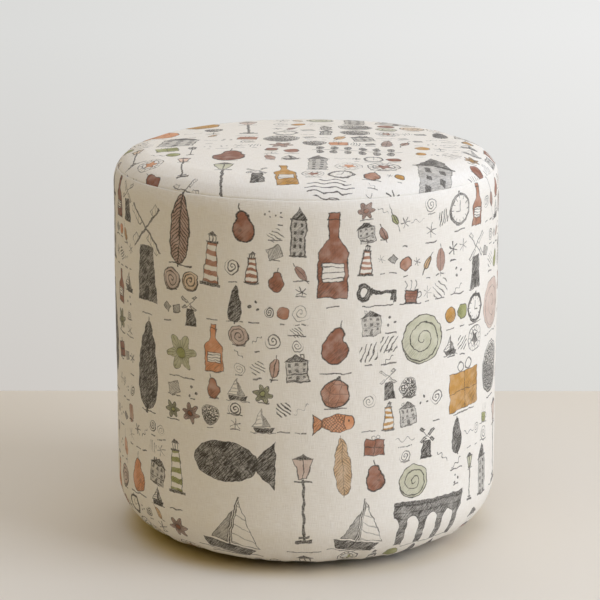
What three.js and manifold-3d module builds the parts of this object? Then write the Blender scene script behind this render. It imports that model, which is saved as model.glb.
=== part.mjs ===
// A round upholstered tuffet: a wooden drum of two boards and four posts inside a bent hardboard
// shell, wrapped in foam and wadding, and covered with a sewn cloth cover that is stapled under the
// base. It stands on four plastic glides. Millimetres, +Z up, origin on the floor under the centre.
import * as THREE from "three";
import { mergeVertices } from "three/addons/utils/BufferGeometryUtils.js";
import Module from "manifold-3d";

const wasm = await Module();
wasm.setup();

// Overall size and outline
const OVERALL_DIAMETER = 400;
const OVERALL_HEIGHT = 410;
const BOTTOM_ROUNDING = 51;
const SHOULDER_ROUNDING = 35;
const CROWN_RISE = 6;

// Cloth cover
const COVER_THICKNESS = 1;
const SEAM_DROP = 23;
const SEAM_DIP = 1.2;
const SEAM_DIP_WIDTH = 6;
const HEM_WIDTH = 20;

// Padding
const WADDING_THICKNESS = 6;
const SEAT_FOAM_THICKNESS = 54;

// Wooden frame
const BOARD_THICKNESS = 15;
const SHELL_THICKNESS = 3;
const SHELL_JOINT = 0.8;
const POST_WIDTH = 36;

// Dust cover and staples
const DUST_COVER_THICKNESS = 0.6;
const DUST_COVER_MARGIN = 6;
const STAPLE_MARGIN = 5;
const STAPLE_WIDTH = 10;
const STAPLE_WIRE = 0.8;
const STAPLE_LEG = 8;

// Glides
const GLIDE_DIAMETER = 24;
const GLIDE_HEIGHT = 4.6;
const GLIDE_CHAMFER = 1;
const GLIDE_DRAFT = 0.6;
const GLIDE_MARGIN = 12;
const GLIDE_HEAD_RECESS = 1;

// Countersunk wood screws
const FRAME_SCREW = { length: 50, shank: 4, head: 8, headDepth: 3.2, tip: 5 };
const GLIDE_SCREW = { length: 14, shank: 3.2, head: 6.4, headDepth: 2.2, tip: 3 };

// Room between pieces that touch, the part of it within which two points are one, and how far a
// cutter runs past what it cuts
const CLEARANCE = 0.3;
const WELD_SHARE = 0.001;
const OVERRUN = 5;

// Counts and fineness
const POSTS = 4;
const GLIDES = 4;
const STAPLES = 16;
const BETWEEN_POSTS_SHARE = 0.5;
const BESIDE_SEAM_SHARE = 0.5;
const ROUND_STEPS = 60;
const SCREW_STEPS = 10;
const GLIDE_STEPS = 20;
const BOTTOM_STEPS = 5;
const PADDING_STEPS = 3;
const CROWN_STEPS = 3;

// Heights of the layers, from the floor up
const DUST_COVER_Z = GLIDE_HEIGHT + CLEARANCE;
const UNDERSIDE_Z = DUST_COVER_Z + DUST_COVER_THICKNESS + CLEARANCE;
const BASE_BOARD_Z = UNDERSIDE_Z + COVER_THICKNESS + CLEARANCE;
const SEAM_Z = OVERALL_HEIGHT - SEAM_DROP;

// How far each layer lies inside the outer surface
const WADDING_INSET = COVER_THICKNESS + CLEARANCE;
const WADDING_INNER_INSET = WADDING_INSET + WADDING_THICKNESS;
const FOAM_INSET = WADDING_INNER_INSET + CLEARANCE;

const SEAT_FOAM_Z = OVERALL_HEIGHT - FOAM_INSET - SEAT_FOAM_THICKNESS;
const SEAT_BOARD_TOP = SEAT_FOAM_Z - CLEARANCE;
const SEAT_BOARD_Z = SEAT_BOARD_TOP - BOARD_THICKNESS;

// Radii of the frame and of what is fixed under it
const OUTER_RADIUS = OVERALL_DIAMETER / 2;
const BOARD_RADIUS = OUTER_RADIUS - BOTTOM_ROUNDING;
const SHELL_RADIUS = BOARD_RADIUS + CLEARANCE;
const SIDE_FOAM_RADIUS = SHELL_RADIUS + SHELL_THICKNESS + CLEARANCE;
const DUST_COVER_RADIUS = BOARD_RADIUS - DUST_COVER_MARGIN;
const STAPLE_RING = DUST_COVER_RADIUS - STAPLE_MARGIN;
const GLIDE_RING = DUST_COVER_RADIUS - GLIDE_MARGIN - GLIDE_DIAMETER / 2;
const POST_RING = Math.sqrt((BOARD_RADIUS - CLEARANCE) ** 2 - (POST_WIDTH / 2) ** 2) - POST_WIDTH / 2;

// The outline in one half plane: a bottom arc, a straight wall, a shoulder arc, and a shallow crown
// that meets the shoulder without a corner. Every layer is the same outline, drawn in by an inset.
const BOTTOM_CENTRE_Z = UNDERSIDE_Z + BOTTOM_ROUNDING;
const SHOULDER_CENTRE_R = OUTER_RADIUS - SHOULDER_ROUNDING;
const SHOULDER_CENTRE_Z = OVERALL_HEIGHT - CROWN_RISE - SHOULDER_ROUNDING;
const CROWN_OVER_CENTRE = CROWN_RISE + SHOULDER_ROUNDING;
const CROWN_RADIUS =
  (SHOULDER_CENTRE_R ** 2 + CROWN_OVER_CENTRE ** 2 - SHOULDER_ROUNDING ** 2) / (2 * CROWN_RISE);
const CROWN_ANGLE = Math.asin(SHOULDER_CENTRE_R / (CROWN_RADIUS - SHOULDER_ROUNDING));
const SHOULDER_END = Math.PI / 2 - CROWN_ANGLE;
const SEAM_ANGLE = Math.asin((SEAM_Z - SHOULDER_CENTRE_Z) / SHOULDER_ROUNDING);
const SEAM_HALF_GAP = CLEARANCE / 2 / SHOULDER_ROUNDING;
const SEAM_DIP_ANGLE = SEAM_DIP_WIDTH / SHOULDER_ROUNDING;

const point = (radius, height) => new THREE.Vector2(radius, height);

function arcPoint(centreRadius, centreZ, radius, angle) {
  return point(centreRadius + radius * Math.cos(angle), centreZ + radius * Math.sin(angle));
}

const bottomPoint = (angle, inset) =>
  arcPoint(BOARD_RADIUS, BOTTOM_CENTRE_Z, BOTTOM_ROUNDING - inset, angle);

const shoulderPoint = (angle, inset) =>
  arcPoint(SHOULDER_CENTRE_R, SHOULDER_CENTRE_Z, SHOULDER_ROUNDING - inset, angle);

function bottomArc(inset, steps) {
  return Array.from({ length: steps + 1 }, (_, i) => bottomPoint((i / steps - 1) * (Math.PI / 2), inset));
}

// The cloth and the wadding's face are drawn in at the seam between the top panel and the band.
function shoulderBelowSeam(inset, seamGap) {
  const dipStart = SEAM_ANGLE - SEAM_DIP_ANGLE;
  return [
    shoulderPoint(0, inset),
    shoulderPoint(dipStart / 2, inset),
    shoulderPoint(dipStart, inset),
    shoulderPoint(SEAM_ANGLE - seamGap, inset + SEAM_DIP),
  ];
}

function shoulderAboveSeam(inset, seamGap) {
  const dipEnd = SEAM_ANGLE + SEAM_DIP_ANGLE;
  return [
    shoulderPoint(SEAM_ANGLE + seamGap, inset + SEAM_DIP),
    shoulderPoint(dipEnd, inset),
    shoulderPoint((dipEnd + SHOULDER_END) / 2, inset),
    shoulderPoint(SHOULDER_END, inset),
  ];
}

function plainShoulder(inset, steps) {
  return Array.from({ length: steps + 1 }, (_, i) => shoulderPoint((i / steps) * SHOULDER_END, inset));
}

function crown(inset) {
  return Array.from({ length: CROWN_STEPS }, (_, i) => {
    const angle = CROWN_ANGLE * (1 - (i + 1) / CROWN_STEPS);
    const radius = CROWN_RADIUS - inset;
    return point(radius * Math.sin(angle), OVERALL_HEIGHT - CROWN_RADIUS + radius * Math.cos(angle));
  });
}

// The part of a line of points that lies outside a radius, cut off square to the axis.
function outsideOf(radius, line) {
  const first = line.findIndex((p) => p.x > radius);
  const [a, b] = [line[first - 1], line[first]];
  const share = (radius - a.x) / (b.x - a.x);
  return [point(radius, a.y + share * (b.y - a.y)), ...line.slice(first)];
}

// Solids from closed outlines, and cutting them
function revolve(outline, steps = ROUND_STEPS) {
  return new THREE.LatheGeometry(outline, steps).rotateX(Math.PI / 2);
}

const revolveRing = (outline, steps) => revolve([...outline, outline[0]], steps);

function toSolid(geometry) {
  const bare = geometry.clone();
  bare.deleteAttribute("normal");
  bare.deleteAttribute("uv");
  const merged = mergeVertices(bare, CLEARANCE * WELD_SHARE);
  return new wasm.Manifold(
    new wasm.Mesh({
      numProp: 3,
      vertProperties: merged.attributes.position.array,
      triVerts: new Uint32Array(merged.index.array),
    }),
  );
}

function toGeometry(solid) {
  const mesh = solid.getMesh();
  const geometry = new THREE.BufferGeometry();
  geometry.setAttribute("position", new THREE.BufferAttribute(mesh.vertProperties, 3));
  geometry.setIndex(new THREE.BufferAttribute(mesh.triVerts, 1));
  geometry.computeVertexNormals();
  return geometry;
}

function cut(geometry, cutters) {
  return toGeometry(cutters.reduce((solid, cutter) => solid.subtract(toSolid(cutter)), toSolid(geometry)));
}

const box = (width, depth, height, x, y, z) =>
  new THREE.BoxGeometry(width, depth, height).translate(x, y, z);

// A disc or peg standing on a height
function disc(radius, height, z, steps = ROUND_STEPS) {
  return revolve([point(0, z), point(radius, z), point(radius, z + height), point(0, z + height)], steps);
}

// Where the repeated pieces stand, as an angle and a place on their ring
function ring(count, radius, offsetShare = 0) {
  return Array.from({ length: count }, (_, i) => {
    const angle = ((i + offsetShare) / count) * 2 * Math.PI;
    return { angle, x: radius * Math.cos(angle), y: radius * Math.sin(angle) };
  });
}

const POST_PLACES = ring(POSTS, POST_RING);
const GLIDE_PLACES = ring(GLIDES, GLIDE_RING, BETWEEN_POSTS_SHARE);
const STAPLE_PLACES = ring(STAPLES, STAPLE_RING, BESIDE_SEAM_SHARE);

// A countersunk screw with its head's face at the origin, pointing up. With room, it is the hole.
function screw(size, room = 0) {
  const shank = size.shank / 2 + room;
  const head = size.head / 2 + room;
  const end = size.length + room;
  const outline = [
    point(0, -room),
    point(head, -room),
    point(head, 0),
    point(shank, size.headDepth),
    point(shank, end - size.tip),
    point(0, end),
  ];
  return revolve(room ? outline : outline.filter((_, i) => i !== 1), SCREW_STEPS);
}

const baseScrewHoles = () =>
  POST_PLACES.map(({ x, y }) => screw(FRAME_SCREW, CLEARANCE).translate(x, y, BASE_BOARD_Z));

const seatScrewHoles = () =>
  POST_PLACES.map(({ x, y }) =>
    screw(FRAME_SCREW, CLEARANCE).rotateX(Math.PI).translate(x, y, SEAT_BOARD_TOP),
  );

const glideScrewHoles = () =>
  GLIDE_PLACES.map(({ x, y }) => screw(GLIDE_SCREW, CLEARANCE).translate(x, y, GLIDE_HEAD_RECESS));

// The two holes that each staple's legs go up through
function stapleHoles() {
  const side = STAPLE_WIRE + 2 * CLEARANCE;
  const depth = STAPLE_LEG + CLEARANCE;
  const legAt = (STAPLE_WIDTH - STAPLE_WIRE) / 2;
  return STAPLE_PLACES.flatMap(({ angle, x, y }) =>
    [-legAt, legAt].map((along) =>
      box(side, side, depth, 0, along, depth / 2).rotateZ(angle).translate(x, y, DUST_COVER_Z),
    ),
  );
}

// Frame
const baseBoard = () =>
  cut(disc(BOARD_RADIUS, BOARD_THICKNESS, BASE_BOARD_Z), [
    ...baseScrewHoles(),
    ...glideScrewHoles(),
    ...stapleHoles(),
  ]);

const seatBoard = () => cut(disc(BOARD_RADIUS, BOARD_THICKNESS, SEAT_BOARD_Z), seatScrewHoles());

function post({ angle, x, y }, index) {
  const foot = BASE_BOARD_Z + BOARD_THICKNESS + CLEARANCE;
  const length = SEAT_BOARD_Z - CLEARANCE - foot;
  const block = box(POST_WIDTH, POST_WIDTH, length, 0, 0, foot + length / 2);
  return cut(block.rotateZ(angle).translate(x, y, 0), [baseScrewHoles()[index], seatScrewHoles()[index]]);
}

// The hardboard is bent round the boards and butted at the rear.
function frameShell() {
  const outer = SHELL_RADIUS + SHELL_THICKNESS;
  const tube = revolveRing([
    point(SHELL_RADIUS, SEAT_BOARD_TOP),
    point(SHELL_RADIUS, BASE_BOARD_Z + CLEARANCE),
    point(outer, BASE_BOARD_Z + CLEARANCE),
    point(outer, SEAT_BOARD_TOP),
  ]);
  return cut(tube, [box(SHELL_JOINT, outer, OVERALL_HEIGHT, 0, outer, OVERALL_HEIGHT / 2)]);
}

// Padding
const sideFoam = () =>
  revolveRing([
    point(SIDE_FOAM_RADIUS, SEAT_BOARD_TOP),
    ...outsideOf(SIDE_FOAM_RADIUS, bottomArc(FOAM_INSET, PADDING_STEPS)),
    point(OUTER_RADIUS - FOAM_INSET, SEAT_BOARD_TOP),
  ]);

const seatFoam = () =>
  revolve([
    point(0, SEAT_FOAM_Z),
    point(OUTER_RADIUS - FOAM_INSET, SEAT_FOAM_Z),
    ...plainShoulder(FOAM_INSET, PADDING_STEPS),
    ...crown(FOAM_INSET),
  ]);

function sideWadding() {
  const top = SHOULDER_CENTRE_Z - CLEARANCE / 2;
  return revolveRing([
    point(OUTER_RADIUS - WADDING_INNER_INSET, top),
    ...outsideOf(SIDE_FOAM_RADIUS, bottomArc(WADDING_INNER_INSET, PADDING_STEPS)).reverse(),
    ...outsideOf(SIDE_FOAM_RADIUS, bottomArc(WADDING_INSET, BOTTOM_STEPS)),
    point(OUTER_RADIUS - WADDING_INSET, top),
  ]);
}

function topWadding() {
  const bottom = SHOULDER_CENTRE_Z + CLEARANCE / 2;
  const inner = [...plainShoulder(WADDING_INNER_INSET, PADDING_STEPS), ...crown(WADDING_INNER_INSET)];
  const outer = [
    ...shoulderBelowSeam(WADDING_INSET, SEAM_HALF_GAP),
    ...shoulderAboveSeam(WADDING_INSET, SEAM_HALF_GAP),
    ...crown(WADDING_INSET),
  ];
  inner[0].y = bottom;
  outer[0].y = bottom;
  return revolve([...inner.reverse(), ...outer]);
}

// Cover: a round top panel, and a band in two halves with its hem turned in under the base
const coverTop = () =>
  revolve([
    ...[...shoulderAboveSeam(COVER_THICKNESS, SEAM_HALF_GAP), ...crown(COVER_THICKNESS)].reverse(),
    ...shoulderAboveSeam(0, SEAM_HALF_GAP),
    ...crown(0),
  ]);

function bandLine(inset) {
  return [
    point(BOARD_RADIUS - HEM_WIDTH, UNDERSIDE_Z + inset),
    ...bottomArc(inset, BOTTOM_STEPS),
    ...shoulderBelowSeam(inset, SEAM_HALF_GAP),
  ];
}

// side is -1 for the front half and 1 for the rear half.
function coverHalf(side) {
  const band = revolveRing([...bandLine(COVER_THICKNESS).reverse(), ...bandLine(0)]);
  const depth = OUTER_RADIUS + OVERRUN;
  const otherHalf = box(2 * depth, depth, OVERALL_HEIGHT, 0, 0, OVERALL_HEIGHT / 2);
  otherHalf.translate(0, side * (CLEARANCE / 2 - depth / 2), 0);
  const nearHoles = stapleHoles().filter((_, i) => STAPLE_PLACES[Math.floor(i / 2)].y * side > 0);
  return cut(band, [otherHalf, ...nearHoles]);
}

// Underside
const dustCover = () =>
  cut(disc(DUST_COVER_RADIUS, DUST_COVER_THICKNESS, DUST_COVER_Z), [
    ...glideScrewHoles(),
    ...stapleHoles().map((hole) => hole.translate(0, 0, -CLEARANCE)),
  ]);

// A staple's crown lies under the dust cover, and its legs point up.
function staple() {
  const half = STAPLE_WIDTH / 2;
  const inside = half - STAPLE_WIRE;
  const top = STAPLE_LEG;
  const under = -CLEARANCE - STAPLE_WIRE;
  const outline = new THREE.Shape([
    point(-half, under),
    point(half, under),
    point(half, top),
    point(inside, top),
    point(inside, -CLEARANCE),
    point(-inside, -CLEARANCE),
    point(-inside, top),
    point(-half, top),
  ]);
  return new THREE.ExtrudeGeometry(outline, { depth: STAPLE_WIRE, bevelEnabled: false })
    .translate(0, 0, -STAPLE_WIRE / 2)
    .rotateX(Math.PI / 2)
    .rotateZ(Math.PI / 2);
}

function glide() {
  const radius = GLIDE_DIAMETER / 2;
  const hole = GLIDE_SCREW.shank / 2 + CLEARANCE;
  const sink = GLIDE_SCREW.head / 2 + CLEARANCE;
  return revolveRing(
    [
      point(hole, GLIDE_HEIGHT),
      point(hole, GLIDE_HEAD_RECESS + GLIDE_SCREW.headDepth),
      point(sink, GLIDE_HEAD_RECESS),
      point(sink, 0),
      point(radius - GLIDE_CHAMFER, 0),
      point(radius, GLIDE_CHAMFER),
      point(radius - GLIDE_DRAFT, GLIDE_HEIGHT),
    ],
    GLIDE_STEPS,
  );
}

// Materials
const finish = (color, roughness, metalness = 0) =>
  new THREE.MeshStandardMaterial({ color, roughness, metalness });
const COVER_CLOTH = finish(0xe8e0d3, 0.9);
const DUST_CLOTH = finish(0x1c1b1b, 0.95);
const FOAM = finish(0xe9dfa9, 0.95);
const WADDING = finish(0xf3f2ee, 1);
const PLYWOOD = finish(0xc9a873, 0.7);
const PINE = finish(0xd9b988, 0.7);
const HARDBOARD = finish(0x7a5638, 0.75);
const NYLON = finish(0x2a2826, 0.45);
const STEEL = finish(0xb9b6ae, 0.35, 1);

const tuffet = new THREE.Group();

function add(name, geometry, material, x = 0, y = 0, z = 0, turn = 0) {
  const mesh = new THREE.Mesh(geometry, material);
  mesh.name = name;
  mesh.position.set(x, y, z);
  mesh.rotation.z = turn;
  tuffet.add(mesh);
}

add("base_board", baseBoard(), PLYWOOD);
add("seat_board", seatBoard(), PLYWOOD);
add("frame_shell", frameShell(), HARDBOARD);
POST_PLACES.forEach((place, i) => add(`post_${i + 1}`, post(place, i), PINE));
POST_PLACES.forEach(({ x, y }, i) =>
  add(`base_screw_${i + 1}`, screw(FRAME_SCREW), STEEL, x, y, BASE_BOARD_Z),
);
POST_PLACES.forEach(({ x, y }, i) =>
  add(`seat_screw_${i + 1}`, screw(FRAME_SCREW).rotateX(Math.PI), STEEL, x, y, SEAT_BOARD_TOP),
);

add("side_foam", sideFoam(), FOAM);
add("seat_foam", seatFoam(), FOAM);
add("side_wadding", sideWadding(), WADDING);
add("top_wadding", topWadding(), WADDING);

add("cover_top", coverTop(), COVER_CLOTH);
add("cover_front", coverHalf(-1), COVER_CLOTH);
add("cover_rear", coverHalf(1), COVER_CLOTH);

add("dust_cover", dustCover(), DUST_CLOTH);
STAPLE_PLACES.forEach(({ x, y, angle }, i) =>
  add(`staple_${i + 1}`, staple(), STEEL, x, y, DUST_COVER_Z, angle),
);
GLIDE_PLACES.forEach(({ x, y }, i) => add(`glide_${i + 1}`, glide(), NYLON, x, y));
GLIDE_PLACES.forEach(({ x, y }, i) =>
  add(`glide_screw_${i + 1}`, screw(GLIDE_SCREW), STEEL, x, y, GLIDE_HEAD_RECESS),
);

export default tuffet;
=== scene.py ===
from math import asin, atan2, cos, exp, hypot, pi, radians, remainder, sin, tanh

import bpy
from mathutils import Matrix, Vector, noise


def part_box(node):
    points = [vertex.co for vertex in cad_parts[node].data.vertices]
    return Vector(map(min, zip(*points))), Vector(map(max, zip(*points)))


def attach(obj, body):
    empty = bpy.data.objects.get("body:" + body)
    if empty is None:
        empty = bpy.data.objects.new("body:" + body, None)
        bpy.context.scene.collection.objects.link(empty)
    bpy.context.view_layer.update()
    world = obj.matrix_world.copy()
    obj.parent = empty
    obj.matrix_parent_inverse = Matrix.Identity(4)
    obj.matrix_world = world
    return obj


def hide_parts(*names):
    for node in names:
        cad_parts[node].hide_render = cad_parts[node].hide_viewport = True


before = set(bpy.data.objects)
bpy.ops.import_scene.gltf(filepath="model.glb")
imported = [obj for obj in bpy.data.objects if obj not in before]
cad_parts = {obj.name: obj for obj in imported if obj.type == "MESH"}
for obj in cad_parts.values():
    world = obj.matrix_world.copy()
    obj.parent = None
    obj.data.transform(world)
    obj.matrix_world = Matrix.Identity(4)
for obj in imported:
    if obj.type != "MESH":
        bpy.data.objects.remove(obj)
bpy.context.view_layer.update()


# The photographer stands two and a half metres in front of the drum with a long lens, and looks
# down on it a little, so that the top shows as a shallow oval.
EYE_DISTANCE = 2.487
EYE_HEIGHT = 0.857
LOOK_DOWN = radians(13.94)
TURN_LEFT = radians(0.15)
LENS = 146
FILM_WIDTH = 36

scene = bpy.context.scene
camera = bpy.data.objects.new("camera", bpy.data.cameras.new("camera"))
camera.data.lens = LENS
camera.data.sensor_width = FILM_WIDTH
camera.location = (0, -EYE_DISTANCE, EYE_HEIGHT)
camera.rotation_euler = (pi / 2 - LOOK_DOWN, 0, TURN_LEFT)
scene.collection.objects.link(camera)
scene.camera = camera


# The drum's frame is two discs of birch plywood with four pine posts screwed between them, and
# brown hardboard bent round both. All of it is hidden once the tuffet is covered.
def maths(operation):
    """A method for tones that adds one Math node."""
    return lambda tone, *values: tone.sum(operation, *values)


class Tone:
    """A value that changes over a surface. Sums on tones add Math nodes to the material."""

    def __init__(self, tree, socket):
        self.tree = tree
        self.socket = socket

    def node(self, kind, feeds=None, out=0, **settings):
        """Adds a node fed with tones or plain values, and gives what comes out of it."""
        made = self.tree.nodes.new(kind)
        for name, value in settings.items():
            if name == "stops":
                lay_stops(made.color_ramp, value)
            elif name == "ramp":
                made.color_ramp.interpolation = value
            else:
                setattr(made, name, value)
        for name, value in (feeds or {}).items():
            if isinstance(value, Tone):
                self.tree.links.new(value.socket, made.inputs[name])
            else:
                made.inputs[name].default_value = value
        return Tone(self.tree, made.outputs[out])

    def sum(self, operation, *values, clamp=False):
        feeds = dict(enumerate((self, *values)))
        return self.node("ShaderNodeMath", feeds, operation=operation, use_clamp=clamp)

    def other(self, out):
        return Tone(self.tree, self.socket.node.outputs[out])

    __add__ = __radd__ = maths("ADD")
    __sub__ = maths("SUBTRACT")
    __mul__ = __rmul__ = maths("MULTIPLY")
    __truediv__ = maths("DIVIDE")
    __abs__ = maths("ABSOLUTE")
    __gt__ = maths("GREATER_THAN")
    __lt__ = maths("LESS_THAN")
    floor = maths("FLOOR")
    frac = maths("FRACT")
    sin = maths("SINE")
    root = maths("SQRT")
    turn = maths("ARCTAN2")

    # The distance to the nearest multiple of twice the width, so one drawn thing repeats.
    fold = maths("PINGPONG")

    def __rsub__(self, value):
        return self.sum("MULTIPLY_ADD", -1, value)

    def __neg__(self):
        return self * -1

    def plus(self, weight, value):
        return weight.sum("MULTIPLY_ADD", value, self)

    def low(self, *others):
        least = self
        for value in others:
            least = least.sum("MINIMUM", value)
        return least

    def high(self, *others):
        most = self
        for value in others:
            most = most.sum("MAXIMUM", value)
        return most

    def held(self):
        return self.sum("ADD", 0, clamp=True)

    def near(self, value):
        return self.sum("COMPARE", value, 0.5)

    def between(self, low_colour, high_colour):
        """From one colour to the other as the tone goes from 0 to 1."""
        feeds = {"Factor": self, 6: low_colour, 7: high_colour}
        return self.node("ShaderNodeMix", feeds, 2, data_type="RGBA")


def lay_stops(ramp, stops):
    while len(ramp.elements) < len(stops):
        ramp.elements.new(1)
    for element, (place, colour) in zip(ramp.elements, stops, strict=True):
        element.position = place
        element.color = colour


def shade(red, green, blue):
    """A colour as it is given, in parts of 255, as the shader's light values."""
    parts = [part / 255 for part in (red, green, blue)]
    return (*(p / 12.92 if p <= 0.04045 else ((p + 0.055) / 1.055) ** 2.4 for p in parts), 1)


def new_finish(name, roughness, metallic=0.0, sheen=0.0):
    """A material, and a tone to start its shader sums from."""
    finish = bpy.data.materials.new(name)
    finish.use_nodes = True
    surface = finish.node_tree.nodes["Principled BSDF"]
    surface.inputs["Roughness"].default_value = roughness
    surface.inputs["Metallic"].default_value = metallic
    surface.inputs["Sheen Weight"].default_value = sheen
    return finish, Tone(finish.node_tree, None)


def lay_on(finish, colour, height, depth, roughness=None):
    """Feeds a material its colour, the height of its bumps and, where it varies, its roughness."""
    tree = finish.node_tree
    surface = tree.nodes["Principled BSDF"]
    tree.links.new(colour.socket, surface.inputs["Base Color"])
    if roughness:
        tree.links.new(roughness.socket, surface.inputs["Roughness"])
    bump = height.node("ShaderNodeBump", {"Height": height, "Distance": depth})
    tree.links.new(bump.socket, surface.inputs["Normal"])
    return finish


def place_in(start):
    """The place in the object's own metres, as one vector tone."""
    return start.node("ShaderNodeTexCoord", out="Object")


def stretched(place, *scales):
    """The place with its three parts scaled, so that blots come out long and thin."""
    return place.node("ShaderNodeVectorMath", {0: place, 1: scales}, operation="MULTIPLY")


def blots(place, scale, detail=2.0, roughness=0.5, out=0):
    feeds = {"Vector": place, "Scale": scale, "Detail": detail, "Roughness": roughness}
    return place.node("ShaderNodeTexNoise", feeds, out)


def parts_of(place):
    """A vector tone's three parts."""
    first = place.node("ShaderNodeSeparateXYZ", {0: place})
    return first, first.other(1), first.other(2)


def birch_plywood():
    """Pale rotary-cut faces with flat, wavy figure, and plies of two tones round the edge."""
    finish, start = new_finish("birch plywood", 0.62)
    place = place_in(start)
    figure = blots(stretched(place, 5, 34, 34), 1, 4, 0.6)
    rings = (figure * 9).frac()
    fleck = blots(stretched(place, 60, 700, 700), 1, 2)
    _, _, up = parts_of(place)
    ply = (up * (1 / 0.0014)).fold(1)
    facing = place.node("ShaderNodeNewGeometry", out="Normal")
    edge = (1 - abs(parts_of(facing)[2])).held()
    colour = (figure * 0.7 + rings * 0.12).between(shade(214, 184, 138), shade(188, 150, 104))
    edge_colour = (ply * 0.8 + fleck * 0.3).between(shade(196, 162, 118), shade(140, 104, 70))
    return lay_on(finish, edge.between(colour, edge_colour), fleck + rings * 0.2, 0.0002)


def planed_pine():
    """Straight yellow grain along the post, darker where a year's late wood shows."""
    finish, start = new_finish("planed pine", 0.58)
    place = place_in(start)
    sway = blots(stretched(place, 9, 9, 2), 1, 2)
    across, deep, _ = parts_of(place)
    years = ((across + deep * 0.35 + sway * 0.02) * 230).fold(1)
    fibre = blots(stretched(place, 900, 900, 24), 1, 2)
    colour = (years * years * 0.75 + fibre * 0.2).between(shade(226, 194, 146), shade(178, 128, 78))
    return lay_on(finish, colour, years * 0.6 + fibre, 0.00015)


def brown_hardboard():
    """Pressed fibre: one smooth brown face, mottled with short darker fibres."""
    finish, start = new_finish("brown hardboard", 0.55)
    place = place_in(start)
    mottle = blots(place, 60, 4, 0.65)
    fibre = blots(stretched(place, 500, 500, 1600), 1, 3, 0.7)
    colour = (mottle * 0.6 + fibre * 0.5).between(shade(138, 100, 68), shade(84, 56, 36))
    return lay_on(finish, colour, fibre, 0.0001)


def finish_nodes(finish, *starts):
    """Gives a finish to the pieces of the frame whose names start so."""
    for name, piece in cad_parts.items():
        if name.startswith(starts):
            piece.data.materials.clear()
            piece.data.materials.append(finish)


finish_nodes(birch_plywood(), "base_board", "seat_board")
finish_nodes(planed_pine(), "post_")
finish_nodes(brown_hardboard(), "frame_shell")


# Eight countersunk wood screws hold the posts, one through each board into each post's end. They
# are of drawn steel, zinc plated.
def zinc_plate():
    """Bright zinc over drawn steel, slightly blue, with a soft cloudy bloom."""
    finish, start = new_finish("zinc plate", 0.34, metallic=1.0)
    place = place_in(start)
    bloom = blots(place, 420, 3)
    colour = bloom.between(shade(206, 206, 204), shade(158, 160, 164))
    return lay_on(finish, colour, blots(place, 2600, 2), 0.00002, bloom * 0.3 + 0.22)


zinc = zinc_plate()
finish_nodes(zinc, "base_screw", "seat_screw")


# Foam is wrapped round the hardboard and glued on the seat board, trimmed round at both edges, and
# pulled over with polyester wadding, so that the cover lies smooth.
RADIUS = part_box("cover_front")[1].x
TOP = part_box("cover_top")[1].z
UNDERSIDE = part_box("cover_front")[0].z
BOTTOM_ROUNDING = 0.051
SHOULDER_ROUNDING = 0.035
CROWN_RISE = 0.006
CLOTH = 0.001
GAP = 0.0003

SHOULDER_R = RADIUS - SHOULDER_ROUNDING
SHOULDER_Z = TOP - CROWN_RISE - SHOULDER_ROUNDING
BOTTOM_R = RADIUS - BOTTOM_ROUNDING
BOTTOM_Z = UNDERSIDE + BOTTOM_ROUNDING
CROWN_OVER = CROWN_RISE + SHOULDER_ROUNDING
CROWN_RADIUS = (SHOULDER_R**2 + CROWN_OVER**2 - SHOULDER_ROUNDING**2) / (2 * CROWN_RISE)
CROWN_ANGLE = asin(SHOULDER_R / (CROWN_RADIUS - SHOULDER_ROUNDING))
SHOULDER_END = pi / 2 - CROWN_ANGLE


def arc(centre_r, centre_z, radius, start, end, steps):
    """Points on an arc in the half plane, each as a radius and a height."""
    angles = [start + (end - start) * i / steps for i in range(steps + 1)]
    return [(centre_r + radius * cos(a), centre_z + radius * sin(a)) for a in angles]


def crown_line(inset, steps=20):
    """From the middle of the top out to the shoulder."""
    angles = [CROWN_ANGLE * i / steps for i in range(steps + 1)]
    radius = CROWN_RADIUS - inset
    return [(radius * sin(a), TOP - CROWN_RADIUS + radius * cos(a)) for a in angles]


def shoulder_line(inset, steps=10):
    return arc(SHOULDER_R, SHOULDER_Z, SHOULDER_ROUNDING - inset, SHOULDER_END, 0, steps)


def bottom_line(inset, steps=12):
    return arc(BOTTOM_R, BOTTOM_Z, BOTTOM_ROUNDING - inset, 0, -pi / 2, steps)


def from_radius(radius, line):
    """Cuts a bottom line off square where it reaches a radius."""
    kept = [point for point in line if point[0] > radius]
    (r1, z1), (r0, z0) = kept[-1], line[len(kept)]
    return [*kept, (radius, z1 + (z0 - z1) * (r1 - radius) / (r1 - r0))]


def new_piece(name, points, faces, finish, smooth=True):
    mesh = bpy.data.meshes.new(name)
    mesh.from_pydata(points, [], faces)
    mesh.validate()
    for polygon in mesh.polygons:
        polygon.use_smooth = smooth
    mesh.materials.append(finish)
    piece = bpy.data.objects.new(name, mesh)
    scene.collection.objects.link(piece)
    return piece


def on_circle(r, angle, z=0):
    """The point so far from the drum's axis, so far round it and so high."""
    return Vector((r * cos(angle), r * sin(angle), z))


def turns(steps):
    """Even steps of angle, once round."""
    return [2 * pi * k / steps for k in range(steps)]


def round_faces(rings, steps, first=0):
    """Faces of four corners that join each ring of points to the next."""
    faces = []
    for start in range(first, first + (rings - 1) * steps, steps):
        for k in range(steps):
            a, b = start + k, start + (k + 1) % steps
            faces.append((a, b, b + steps, a + steps))
    return faces


def fan(first, steps, tip, turn=1):
    """Faces of three corners that join a ring of points to a tip."""
    return [(first + k, first + (k + 1) % steps, tip)[::turn] for k in range(steps)]


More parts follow.
